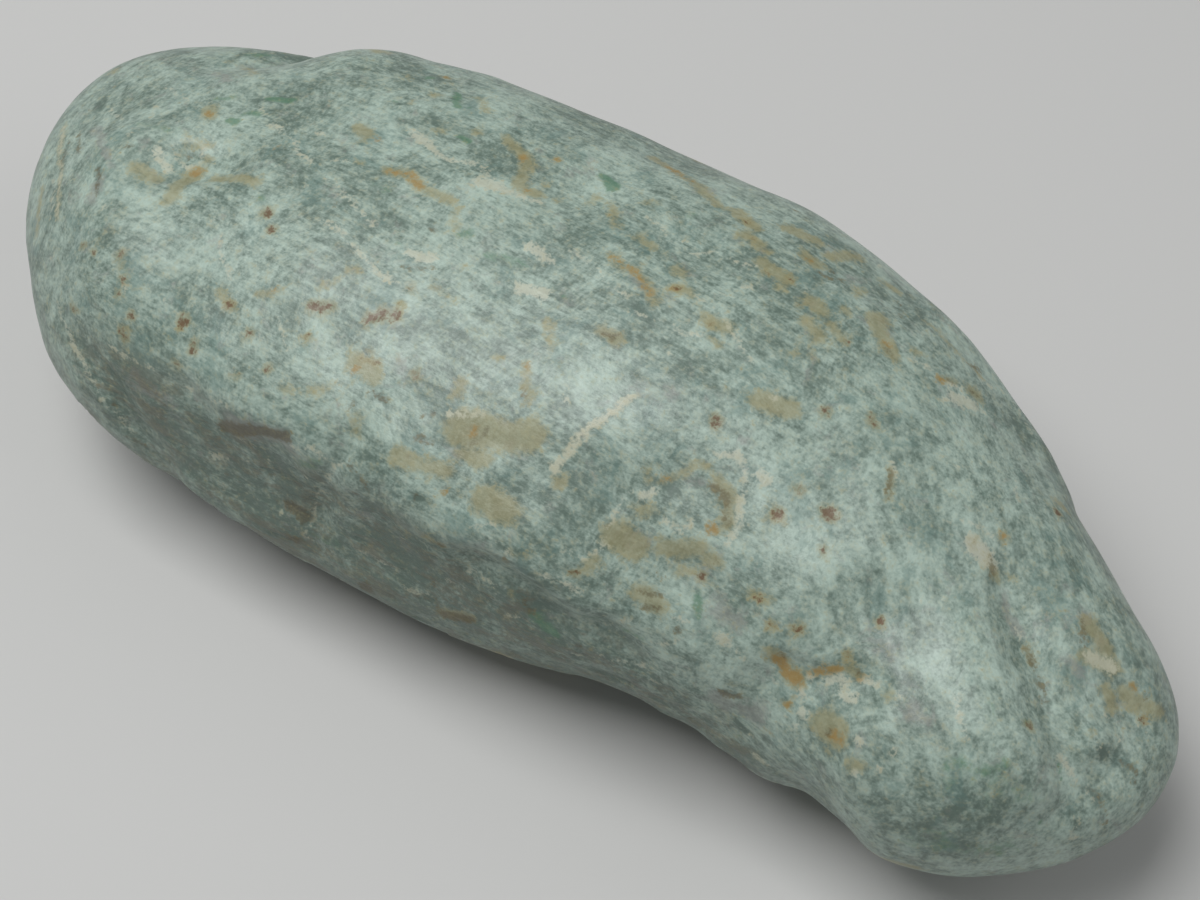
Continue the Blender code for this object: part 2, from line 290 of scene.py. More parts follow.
def relief(points):
    """The sum of the heights of all the forms that the solid has: swells, folds, ledges and dents."""
    total = waves(points, SWELLS, np.random.default_rng(SWELL_SEED))
    points = wandered(points)
    for route, height, half_width in FOLDS:
        total += fold_height(points, route, height, half_width)
    for route, drop, reach in LEDGES:
        total += ledge_height(points, route, drop, reach)
    for dent in DENTS:
        total += dent_height(points, *dent)
    return total


# The mesh is a grid of rings along the length and spokes round the turn. The rings are evenly spaced over
# the surface, and the spokes stand closer together on the top and the sides than underneath.
RINGS = 339
SPOKES = 291
UNDERSIDE_SPOKES = 0.45
BUSY_TURN = math.radians(22.0)
PROFILE_SAMPLES = 4001


def even_stations(share):
    """Stations from -1 to 1 by equal travel along the stone's outline, which is half width x taper."""
    along = -np.cos(np.linspace(0.0, np.pi, PROFILE_SAMPLES))
    outline = np.stack([along * LENGTH / 2.0, np.mean(HALF_WIDTH) * end_taper(along)])
    travelled = np.concatenate([[0.0], np.cumsum(np.linalg.norm(np.diff(outline), axis=0))])
    return np.interp(share * travelled[-1], travelled, along)


def spoke_turns(count):
    """Turns in radians whose density is 1 on the top and the front and smoothly less round the rest."""
    turn = np.linspace(0.0, 2.0 * np.pi, PROFILE_SAMPLES)
    density = 1.0 + (UNDERSIDE_SPOKES - 1.0) * np.clip(0.2 - 1.4 * np.sin(turn + BUSY_TURN), 0.0, 1.0)
    travelled = np.concatenate([[0.0], np.cumsum((density[1:] + density[:-1]) / 2.0)])
    return np.interp(np.arange(count) / count * travelled[-1], travelled, turn)


ring_along = even_stations(np.arange(1, RINGS + 1) / (RINGS + 1))
along_grid, turn_grid = np.meshgrid(ring_along, spoke_turns(SPOKES), indexing="ij")
along = np.concatenate([[-1.0], along_grid.ravel(), [1.0]])
turn = np.concatenate([[0.0], turn_grid.ravel(), [0.0]])
plain = body(along, turn)
normal = outward(along, turn)
skin = plain + normal * relief(plain)[:, None]
flat_level = skin[:, 2].min() + FLAT_CUT
middle = (skin.min(axis=0) + skin.max(axis=0)) / 2.0
to_row_frame = -np.array([middle[0], middle[1], flat_level])


def grid_faces(rings, spokes):
    """Quads between neighbouring rings and spokes, closed round the turn, with a fan at each pole."""
    ring, spoke = np.meshgrid(np.arange(rings - 1), np.arange(spokes), indexing="ij")
    first = 1 + ring * spokes + spoke
    second = 1 + ring * spokes + (spoke + 1) % spokes
    quads = np.stack([first, first + spokes, second + spokes, second], axis=-1).reshape(-1, 4)
    start = 1 + np.arange(spokes)
    start_next = 1 + (np.arange(spokes) + 1) % spokes
    shift = (rings - 1) * spokes
    blunt_fan = np.stack([np.zeros(spokes, dtype=int), start, start_next], axis=-1)
    foot_fan = np.stack([np.full(spokes, rings * spokes + 1), start_next + shift, start + shift], axis=-1)
    return quads, blunt_fan, foot_fan


def skin_normals(points, rings, spokes):
    """Each point's unit normal, from its neighbours' differences along the rings and round the spokes."""
    grid = points[1:-1].reshape(rings, spokes, 3)
    lengthwise = np.gradient(grid, axis=0)
    round_the_turn = np.roll(grid, -1, axis=1) - np.roll(grid, 1, axis=1)
    normals = unit(np.cross(lengthwise, round_the_turn)).reshape(-1, 3)
    return np.concatenate([[[-1.0, 0.0, 0.0]], normals, [[1.0, 0.0, 0.0]]])


skin_normal = skin_normals(skin, RINGS, SPOKES)
facing = ((eye - to_row_frame - skin) * skin_normal).sum(axis=1) > 0.0


def sight(points):
    """The pixel at which the camera sees each point: 1/2 width + f x/z across, 1/2 height - f y/z down."""
    offset = points + to_row_frame - eye
    depth = -(offset @ backward)
    across = PICTURE_WIDTH / 2.0 + PIXELS_PER_SLOPE * (offset @ rightward) / depth
    down = PICTURE_HEIGHT / 2.0 - PIXELS_PER_SLOPE * (offset @ upward) / depth
    return np.stack([across, down], axis=-1)


seen = np.flatnonzero(facing)
seen_pixels = sight(skin[seen])


def on_stone(pixels):
    """Carries pixels of the picture onto the stone: the nearest visible point's tangent plane cuts the
    pixel's sight line. Gives the points and their normals."""
    points = []
    normals = []
    for across, down in pixels:
        nearest = seen[np.argmin((seen_pixels[:, 0] - across) ** 2 + (seen_pixels[:, 1] - down) ** 2)]
        heading = rightward * (across - PICTURE_WIDTH / 2.0) / PIXELS_PER_SLOPE
        heading = heading + upward * (PICTURE_HEIGHT / 2.0 - down) / PIXELS_PER_SLOPE - backward
        start = eye - to_row_frame
        out = skin_normal[nearest]
        reach = ((skin[nearest] - start) @ out) / min(heading @ out, -0.2)
        points.append(start + reach * heading)
        normals.append(out)
    return np.array(points), np.array(normals)


LATTICE = 64


def cloud(points, size, seed):
    """Value noise from -1 to 1: seeded numbers on a cubic lattice, blended by u^2 (3 - 2u) between them."""
    numbers = np.random.default_rng(seed).uniform(-1.0, 1.0, (LATTICE, LATTICE, LATTICE))
    place = points / size
    low = np.floor(place).astype(int)
    u = place - low
    u = u * u * (3.0 - 2.0 * u)
    total = np.zeros(len(points))
    for corner in itertools.product((0, 1), repeat=3):
        share = np.prod(np.where(np.array(corner) == 1, u, 1.0 - u), axis=1)
        total += share * numbers[tuple(((low + corner) % LATTICE).T)]
    return total


# The points that the marks are measured from are moved a little by seeded clouds, so that a stain's edge
# is as ragged as the grains it soaked into.
# Each cloud has its size, its reach and its seed.
RAGS = ((0.0020, 0.00035, 41), (0.0010, 0.00018, 51))
ragged = skin + sum(
    reach * np.stack([cloud(skin, size, seed + axis) for axis in range(3)], axis=-1)
    for size, reach, seed in RAGS
)


def drawn(marks):
    """Each mark's numbers, with its pixels turned into corners and normals on the stone."""
    return [(*mark[:-1], *on_stone(mark[-1])) for mark in marks]


def close_to(corners, reach):
    """The points inside the corners' box, widened by the reach."""
    inside = (ragged > corners.min(axis=0) - reach) & (ragged < corners.max(axis=0) + reach)
    return np.flatnonzero(inside.all(axis=1))


def distance_from(points, corners, normals):
    if len(corners) == 1:
        return np.linalg.norm(points - corners[0], axis=1)
    return beside(points, corners, normals)[0]


def soft_patches(patches):
    """The most of strength x (1 - (distance / half width)^2)^2 over the patches, each given as its half
    width in mm, its strength, its corners and their normals."""
    weight = np.zeros(len(skin))
    for half_width, strength, corners, normals in patches:
        reach = half_width * MM
        near = close_to(corners, reach)
        distance = distance_from(ragged[near], corners, normals)
        fade = np.clip(1.0 - (distance / reach) ** 2, 0.0, 1.0) ** 2
        weight[near] = np.maximum(weight[near], strength * fade)
    return weight


# The width in mm over which a stain's edge fades.
EDGE = 0.6


def edged_patches(patches):
    """How deep each point is inside the nearest patch: (half width - distance) / EDGE, from -1 to 1. Each
    patch is given as its half width in mm, its corners and their normals."""
    depth = np.full(len(skin), -1.0)
    for half_width, corners, normals in patches:
        near = close_to(corners, (half_width + EDGE) * MM)
        distance = distance_from(ragged[near], corners, normals) / MM
        depth[near] = np.maximum(depth[near], np.clip((half_width - distance) / EDGE, -1.0, 1.0))
    return depth


def hidden_marks(count, seed, least, most, *strength):
    """Marks of the same kinds for the sides that the camera doesn't see: seeded walks of one to four steps
    over the body, mostly lengthwise, with half widths between the least and the most."""
    random = np.random.default_rng(seed)
    marks = []
    while len(marks) < count:
        station, turn = random.uniform(-0.055, 0.055), random.uniform(130.0, 350.0)
        heading = random.uniform(-1.0, 1.0)
        steps = random.integers(1, 5)
        half_width = random.uniform(least, most)
        route = [
            (np.clip(station + 0.0020 * i, -0.058, 0.058), turn + 5.0 * heading * i) for i in range(steps)
        ]
        corners, normals = on_body(route)
        if (eye - to_row_frame - corners[0]) @ normals[0] < 0.0:
            marks.append((half_width, *strength, corners, normals))
    return marks


# Ochre stain, where iron has soaked in: the half width in mm and the pixels along the middle.
OCHRE = (
    (0.5, ((42, 190), (37, 235))), (0.3, ((63, 129), (62, 167), (58, 218))), (0.4, ((113, 73), (119, 68))),
    (1.0, ((209, 113),)), (0.7, ((135, 168), (155, 180))), (0.3, ((187, 141), (215, 146))),
    (0.9, ((196, 173), (178, 187), (170, 198))), (0.7, ((215, 180), (256, 182))), (0.5, ((208, 162),)),
    (0.3, ((98, 242),)), (0.3, ((156, 256),)), (0.4, ((129, 331),)), (0.4, ((178, 324),)),
    (0.5, ((222, 290), (230, 304))), (0.3, ((226, 61), (250, 69), (256, 71))), (0.4, ((296, 67),)),
    (0.8, ((357, 128), (369, 138))), (0.4, ((362, 162),)), (0.3, ((388, 170), (399, 170))),
    (0.4, ((411, 78),)), (0.5, ((445, 77),)), (0.5, ((435, 95),)), (0.3, ((411, 103),)),
    (0.4, ((441, 131),)), (0.4, ((479, 98), (486, 110))), (0.5, ((478, 130),)),
    (0.55, ((387, 169), (402, 173), (418, 184), (431, 191), (450, 201))),
    (0.3, ((456, 209), (451, 221), (461, 227))), (0.4, ((559, 158),)), (0.4, ((547, 186),)),
    (0.65, ((506, 138), (521, 153), (526, 166), (521, 183), (526, 191), (536, 194))), (0.4, ((556, 201),)),
    (0.35, ((589, 203), (600, 196), (612, 209), (617, 226))), (0.2, ((464, 266),)),
    (0.6, ((653, 158), (670, 168), (690, 181), (708, 195), (719, 206))), (0.3, ((719, 206), (733, 211))),
    (0.8, ((738, 212), (754, 228))), (0.7, ((743, 235), (760, 243))), (0.5, ((756, 247), (768, 253))),
    (0.8, ((763, 263), (785, 281))), (0.4, ((778, 287), (786, 291))), (0.8, ((788, 228), (817, 240))),
    (0.8, ((809, 256), (818, 266))), (0.7, ((831, 257), (860, 257))), (0.4, ((855, 292), (862, 292))),
    (0.8, ((813, 300), (820, 309))), (0.6, ((847, 309),)), (0.7, ((829, 324), (836, 334))),
    (0.8, ((811, 324), (818, 339))), (0.4, ((813, 346), (813, 360))), (0.3, ((790, 353), (796, 356))),
    (0.4, ((645, 203), (655, 203))), (0.5, ((640, 236), (653, 247))), (0.4, ((676, 271), (686, 275))),
    (0.55, ((609, 256), (624, 267), (637, 274), (650, 289), (655, 301))), (0.7, ((672, 288), (688, 293))),
    (0.7, ((706, 317), (726, 326))), (0.4, ((711, 339), (717, 347))), (0.3, ((879, 329),)),
    (0.5, ((885, 285), (895, 290))), (1.0, ((878, 318), (890, 350))), (0.4, ((916, 350), (921, 352))),
    (0.25, ((923, 321), (939, 331), (951, 346), (967, 362), (983, 379))), (0.5, ((937, 379),)),
    (0.5, ((944, 380), (954, 382))), (0.6, ((970, 391), (978, 396))), (0.4, ((260, 295), (281, 291))),
    (0.3, ((324, 282), (340, 281))), (0.4, ((347, 273), (356, 273))), (0.2, ((300, 317),)),
    (0.5, ((303, 338),)), (0.3, ((359, 333),)), (0.3, ((348, 345),)), (1.1, ((356, 362), (374, 376))),
    (0.3, ((338, 382),)), (0.3, ((403, 314), (402, 303))),
    (0.3, ((279, 389), (286, 391), (303, 391), (316, 390), (330, 386), (338, 382))),
    (0.4, ((355, 415), (355, 436))), (0.2, ((434, 289), (448, 296), (459, 300))),
    (0.6, ((461, 385), (456, 396))), (0.5, ((527, 363), (528, 398))), (0.4, ((498, 356),)),
    (0.4, ((546, 320), (552, 348))), (0.8, ((604, 330), (616, 340))), (0.3, ((619, 375),)),
    (1.6, ((462, 426), (492, 432), (528, 436))), (0.8, ((397, 456), (420, 465), (445, 470))),
    (0.3, ((426, 481),)), (0.8, ((465, 452), (482, 460))), (0.3, ((445, 492),)),
    (1.5, ((490, 502), (505, 508))), (0.8, ((559, 479),)),
    (0.3, ((552, 466), (571, 451), (591, 428), (612, 414), (629, 398))),
    (0.6, ((718, 480), (733, 500), (728, 525))), (0.5, ((710, 529), (718, 532))),
    (0.6, ((702, 560), (716, 562))), (0.4, ((666, 481), (681, 473), (693, 463), (706, 466))),
    (0.4, ((649, 466), (649, 479))), (0.4, ((643, 511), (654, 511))), (0.3, ((631, 505), (636, 505))),
    (0.3, ((631, 518),)), (1.3, ((615, 535), (636, 545))), (0.9, ((666, 548), (697, 550))),
    (0.5, ((676, 571), (689, 571))), (0.4, ((772, 513), (784, 520))), (0.5, ((753, 596), (768, 598))),
    (0.9, ((640, 592), (660, 606))), (1.1, ((762, 400), (788, 412))), (0.2, ((513, 555), (533, 555))),
    (0.4, ((429, 538), (441, 546))), (0.3, ((407, 534),)), (0.6, ((585, 569), (593, 562))),
    (0.3, ((513, 594),)), (0.8, ((442, 613), (470, 618))),
    (0.9, ((775, 657), (784, 662), (789, 672), (799, 682))),
    (0.4, ((799, 678), (812, 674), (828, 670), (840, 666))), (0.6, ((846, 659), (848, 666))),
    (0.5, ((855, 672), (862, 680))), (0.5, ((790, 702),)), (1.2, ((824, 722), (838, 736))),
    (0.4, ((889, 696),)), (0.4, ((829, 750),)), (0.6, ((850, 762), (860, 765))), (0.4, ((796, 629),)),
    (0.5, ((771, 629),)), (1.0, ((1090, 622), (1104, 650))), (0.6, ((1133, 686),)),
    (0.7, ((1086, 656), (1112, 668))), (0.7, ((1106, 690), (1112, 703))), (0.8, ((1125, 695), (1160, 712))),
    (0.3, ((1092, 735),)), (0.5, ((988, 562), (996, 578))), (0.6, ((1006, 538),)), (0.3, ((1009, 573),)),
    (0.5, ((1054, 500), (1066, 510))), (0.2, ((1058, 521),)), (0.4, ((888, 470), (888, 498))),
    (0.3, ((877, 626),)), (0.4, ((1029, 648), (1034, 660))),
)

# Strong amber stain, the hearts of the ochre.
AMBER = (
    (0.5, ((196, 173),)), (0.4, ((209, 113),)), (0.3, ((274, 148),)), (0.4, ((379, 141),)),
    (0.3, ((445, 77),)), (0.25, ((390, 170), (404, 174), (420, 185))), (0.3, ((275, 291),)),
    (0.4, ((355, 372),)), (0.25, ((612, 259), (634, 272), (651, 293))), (0.25, ((672, 290),)),
    (0.3, ((812, 261),)), (0.3, ((670, 168), (690, 181))), (0.4, ((936, 379),)), (0.3, ((529, 363),)),
    (0.4, ((474, 430),)), (0.5, ((712, 529),)), (0.3, ((668, 480),)),
    (0.6, ((778, 660), (787, 670), (798, 680))), (0.25, ((812, 674), (838, 667))), (0.3, ((847, 660),)),
    (0.3, ((861, 681),)), (0.4, ((834, 734),)), (0.3, ((842, 740),)), (0.3, ((1005, 538),)),
    (0.3, ((1133, 686),)), (0.3, ((1145, 716),)), (0.3, ((521, 160),)), (0.3, ((526, 190),)),
    (0.25, ((559, 158),)), (0.3, ((445, 492),)), (0.25, ((790, 702),)), (0.25, ((253, 439),)),
    (0.25, ((338, 382),)), (0.3, ((887, 344),)), (0.25, ((606, 335),)),
)

# Brown stain in pits and seams.
BROWN = (
    (0.25, ((70, 142), (63, 161))), (0.25, ((80, 134), (78, 155))), (0.35, ((95, 170), (98, 193))),
    (0.3, ((89, 109),)), (0.35, ((128, 147),)), (0.4, ((98, 388),)), (0.3, ((115, 402),)),
    (0.3, ((198, 401),)), (0.3, ((178, 389),)), (0.3, ((338, 203),)), (0.2, ((334, 221),)),
    (0.45, ((431, 227),)), (0.2, ((401, 266), (418, 269), (435, 267))), (0.35, ((562, 130),)),
    (0.25, ((716, 175),)), (0.25, ((797, 211),)), (0.25, ((820, 273), (833, 281))),
    (0.25, ((832, 272), (847, 286))), (0.2, ((899, 300), (899, 316))), (0.3, ((887, 351),)),
    (0.3, ((967, 362), (981, 372))), (0.2, ((945, 379), (953, 383))), (0.2, ((970, 391), (978, 397))),
    (0.4, ((372, 394), (382, 402))), (0.2, ((421, 414), (436, 415))), (0.3, ((523, 393),)),
    (0.4, ((605, 333), (615, 338))), (0.2, ((469, 443), (483, 434), (488, 429))),
    (0.15, ((491, 443), (503, 444), (513, 443))), (0.4, ((418, 437), (432, 442))), (0.3, ((352, 403),)),
    (0.3, ((712, 485), (730, 500), (728, 522))), (0.25, ((713, 563),)), (0.25, ((644, 466),)),
    (0.25, ((638, 588), (650, 596), (662, 594))), (0.3, ((645, 606), (660, 610))), (0.3, ((659, 574),)),
    (0.8, ((292, 510), (304, 518))), (0.5, ((290, 538), (301, 541))), (0.4, ((355, 493),)),
    (0.3, ((345, 462), (356, 474), (368, 488))), (0.4, ((147, 445),)), (0.3, ((220, 440),)),
    (0.3, ((269, 476),)), (0.9, ((330, 572), (365, 588))), (0.3, ((498, 561), (508, 562))),
    (0.35, ((459, 572),)), (0.35, ((421, 557),)), (0.4, ((441, 546),)), (0.4, ((516, 587),)),
    (0.35, ((525, 600), (530, 612))), (0.25, ((434, 578), (437, 612))), (0.7, ((445, 615), (470, 620))),
    (0.3, ((501, 635),)), (0.4, ((579, 645),)), (0.3, ((594, 615),)), (0.35, ((574, 572),)),
    (0.4, ((417, 499),)), (0.3, ((502, 509),)), (0.35, ((677, 629),)), (0.35, ((660, 610),)),
    (0.4, ((720, 693), (735, 697))), (0.3, ((748, 744),)), (0.3, ((782, 655),)), (0.35, ((860, 675),)),
    (0.3, ((829, 731),)), (0.35, ((1029, 648), (1034, 660), (1038, 674), (1043, 687), (1046, 703))),
    (0.25, ((1084, 620), (1084, 646))), (0.3, ((1148, 697),)),
    (0.2, ((1121, 761), (1133, 770), (1132, 782))), (0.2, ((1061, 765),)),
    (0.2, ((1090, 792), (1098, 802), (1106, 820))), (0.3, ((887, 472), (887, 497))),
    (0.8, ((223, 425), (255, 430), (285, 438))), (0.3, ((175, 149),)), (0.3, ((993, 562), (991, 577))),
    (0.5, ((188, 153),)), (0.3, ((881, 618),)), (0.35, ((602, 330),)), (0.2, ((735, 641),)),
)

# Rust pits, mostly round: the half width in mm and one or two pixels.
RUST = (
    (0.45, ((229, 304),)), (0.45, ((182, 318),)), (0.35, ((248, 334),)), (0.4, ((313, 306), (330, 306))),
    (0.45, ((396, 314),)), (0.3, ((412, 288),)), (0.4, ((370, 319), (383, 313))), (0.3, ((303, 338),)),
    (0.4, ((192, 348),)), (0.3, ((177, 364),)), (0.3, ((122, 332),)), (0.3, ((125, 339),)),
    (0.3, ((74, 308),)), (0.45, ((266, 211),)), (0.3, ((271, 228),)), (0.3, ((418, 375),)),
    (0.25, ((369, 349),)), (0.25, ((362, 361),)), (0.25, ((375, 362),)), (0.3, ((268, 368),)),
    (0.25, ((83, 247),)), (0.25, ((93, 254),)), (0.25, ((120, 257),)), (0.25, ((121, 269),)),
    (0.25, ((124, 282),)), (0.25, ((117, 296),)), (0.3, ((128, 315),)), (0.3, ((187, 318),)),
    (0.25, ((237, 376),)), (0.3, ((872, 420),)), (0.5, ((776, 513),)), (0.5, ((830, 511),)),
    (0.4, ((715, 422),)), (0.25, ((825, 412),)), (0.25, ((797, 488),)), (0.3, ((824, 551),)),
    (0.3, ((879, 620),)), (0.3, ((760, 597),)), (0.3, ((701, 579),)), (0.3, ((1057, 513),)),
    (0.25, ((1142, 717),)), (0.3, ((1030, 724),)), (0.35, ((796, 629),)), (0.3, ((847, 657),)),
    (0.3, ((413, 289),)), (0.25, ((575, 573),)), (0.3, ((801, 306),)), (0.2, ((844, 339),)),
    (0.25, ((747, 223),)), (0.2, ((751, 239),)), (0.2, ((766, 274),)), (0.2, ((677, 289),)),
    (0.2, ((974, 545),)), (0.3, ((771, 628),)), (0.2, ((790, 280),)), (0.2, ((714, 322),)),
)

# Cream and white: bruised grains, the lips of chips, and short veins.
CREAM = (
    (0.25, ((63, 129), (62, 167), (58, 218))), (0.2, ((53, 180), (53, 218))), (0.2, ((52, 255), (54, 276))),
    (0.2, ((112, 109), (121, 119))), (0.25, ((127, 134),)), (0.6, ((158, 150), (168, 170))),
    (0.3, ((104, 207),)), (0.3, ((124, 290),)), (0.2, ((198, 356),)),
    (0.25, ((176, 142), (179, 160), (190, 168), (203, 162), (205, 147))), (0.3, ((220, 262), (230, 276))),
    (0.3, ((270, 123), (281, 130), (289, 138), (296, 151), (310, 161))), (0.3, ((275, 166),)),
    (0.2, ((303, 187),)), (0.25, ((329, 176), (345, 194), (361, 212), (373, 224))),
    (0.3, ((325, 220), (345, 232))), (0.25, ((212, 219),)), (0.15, ((254, 105), (264, 113))),
    (0.4, ((413, 131), (430, 146), (446, 158), (473, 163), (489, 179), (513, 193), (539, 203))),
    (0.6, ((414, 136), (426, 144))), (0.7, ((478, 183), (503, 186))), (0.6, ((408, 253), (430, 260))),
    (0.5, ((528, 246), (552, 262))), (0.8, ((521, 286), (542, 295))), (0.15, ((147, 118), (158, 108))),
    (0.2, ((572, 252), (596, 269), (615, 287), (625, 295))), (0.15, ((313, 131), (324, 134))),
    (0.2, ((630, 312), (653, 321), (670, 327), (686, 334), (703, 336))), (0.25, ((882, 264), (895, 272))),
    (0.3, ((912, 357), (926, 367))), (0.3, ((940, 370),)), (0.4, ((946, 385), (962, 389))),
    (0.3, ((943, 400),)), (0.7, ((950, 397), (972, 404))), (0.25, ((980, 411), (988, 411))),
    (0.2, ((978, 379), (992, 388))), (0.3, ((349, 243), (362, 258), (373, 267), (389, 278), (397, 286))),
    (0.2, ((335, 337),)), (0.2, ((361, 338),)), (0.3, ((448, 415), (481, 415))), (0.2, ((461, 471),)),
    (0.2, ((567, 403), (569, 378))), (0.45, ((552, 466), (571, 451), (591, 428), (612, 414), (629, 398))),
    (0.4, ((719, 453), (734, 455))), (0.35, ((736, 446), (744, 473), (742, 496), (739, 529), (726, 546))),
    (0.5, ((643, 497), (656, 492))), (0.2, ((631, 489), (616, 511), (606, 532), (603, 544))),
    (0.2, ((666, 521), (679, 532), (693, 522))), (0.3, ((676, 618), (687, 622))),
    (0.2, ((563, 549), (581, 557))), (0.7, ((760, 474), (767, 480))), (0.4, ((774, 398),)),
    (0.2, ((591, 555), (608, 547))), (0.3, ((487, 537), (496, 546), (505, 553), (510, 555))),
    (0.25, ((472, 529), (481, 527), (493, 527))), (0.35, ((545, 576), (553, 579), (563, 584), (577, 593))),
    (0.2, ((447, 580), (456, 580), (463, 587))), (0.2, ((470, 572), (481, 570))),
    (0.2, ((481, 575), (498, 584))), (0.2, ((502, 613), (527, 619))), (0.3, ((568, 650), (577, 656))),
    (0.2, ((404, 587), (432, 595))), (0.2, ((380, 561), (389, 566))), (0.3, ((403, 538), (410, 543))),
    (0.3, ((535, 645),)), (0.25, ((307, 478),)), (0.3, ((271, 463),)), (0.2, ((248, 460),)),
    (0.2, ((231, 474),)), (0.2, ((223, 488),)), (0.25, ((259, 501),)), (0.25, ((283, 516),)),
    (0.4, ((213, 455), (228, 457))), (0.2, ((157, 415),)), (0.25, ((374, 489),)),
    (0.15, ((352, 549), (372, 557), (389, 564), (400, 571))), (0.15, ((365, 516), (384, 526))),
    (0.2, ((234, 433), (254, 443))), (0.3, ((292, 448), (314, 451), (327, 456))),
    (0.15, ((600, 621), (637, 624))), (0.15, ((650, 646), (686, 637))), (0.2, ((600, 657), (640, 666))),
    (0.4, ((648, 679), (657, 682))), (0.5, ((721, 636), (726, 640))), (0.2, ((735, 645), (742, 660))),
    (0.2, ((742, 728), (753, 738))), (0.2, ((716, 716), (727, 725))), (0.2, ((755, 755), (768, 764))),
    (0.3, ((773, 678),)), (0.3, ((784, 710),)), (0.5, ((802, 695),)), (0.5, ((812, 677),)),
    (0.6, ((805, 713),)), (0.4, ((796, 722),)), (0.5, ((843, 682),)), (0.4, ((864, 684), (877, 686))),
    (0.5, ((839, 694), (853, 698))), (0.4, ((859, 741),)), (0.5, ((858, 773),)), (0.4, ((878, 767),)),
    (0.3, ((895, 755),)), (0.2, ((898, 697),)), (0.5, ((828, 680), (840, 675))),
    (0.25, ((954, 693), (958, 711), (965, 726), (969, 737))), (0.3, ((974, 486),)),
    (0.2, ((960, 524), (970, 524), (978, 529), (988, 532), (995, 541))), (0.9, ((972, 546), (990, 562))),
    (0.2, ((984, 545), (984, 558))), (0.3, ((892, 462), (892, 480))), (0.3, ((854, 578),)),
    (0.3, ((1017, 629), (1023, 637))), (0.2, ((1106, 715),)), (0.2, ((1138, 723),)), (0.2, ((1148, 732),)),
    (0.6, ((1090, 657), (1110, 668))), (0.3, ((1121, 739),)), (0.2, ((1099, 747),)), (0.2, ((1130, 799),)),
    (0.4, ((1057, 754), (1063, 760), (1068, 768), (1074, 776))), (0.2, ((1077, 781),)),
    (0.3, ((1077, 818), (1075, 838))), (0.15, ((1087, 790), (1095, 803), (1103, 820))),
    (0.2, ((1031, 433),)), (0.15, ((1014, 476), (1017, 512))), (0.12, ((923, 603),)), (0.12, ((943, 601),)),
    (0.15, ((985, 603), (986, 609))), (0.12, ((912, 563),)), (0.12, ((940, 449),)), (0.12, ((940, 458),)),
    (0.15, ((956, 468),)), (0.12, ((944, 494),)), (0.12, ((913, 542),)), (0.15, ((954, 556),)),
    (0.12, ((949, 522),)), (0.12, ((1017, 442),)), (0.12, ((1031, 715),)), (0.12, ((932, 845),)),
    (0.3, ((58, 304), (66, 329), (79, 353), (94, 381), (104, 400), (124, 416), (134, 433))),
    (0.15, ((104, 342), (121, 353), (155, 369), (184, 386), (206, 397), (228, 407))), (0.2, ((166, 298),)),
    (0.15, ((278, 314), (282, 335), (289, 349))), (0.25, ((181, 307),)),
    (0.15, ((162, 83), (181, 95), (191, 101))), (0.15, ((668, 236), (686, 243), (700, 246))),
    (0.2, ((691, 253), (713, 254), (736, 261), (758, 266))),
    (0.2, ((691, 292), (708, 304), (726, 321), (734, 332), (743, 347), (751, 359))),
    (0.15, ((334, 159), (358, 161))), (0.15, ((642, 213), (656, 226), (665, 231))),
    (0.15, ((671, 351), (686, 367))), (0.2, ((718, 183), (728, 188))), (0.15, ((720, 289), (724, 296))),
    (0.15, ((740, 287), (753, 287))), (0.2, ((807, 289),)),
    (0.2, ((997, 386), (1014, 401), (1028, 426), (1035, 439))), (0.2, ((223, 234), (222, 256))),
    (0.2, ((339, 460), (331, 476), (319, 493), (312, 508), (311, 523), (309, 536))),
    (0.2, ((565, 549), (583, 558))),
)

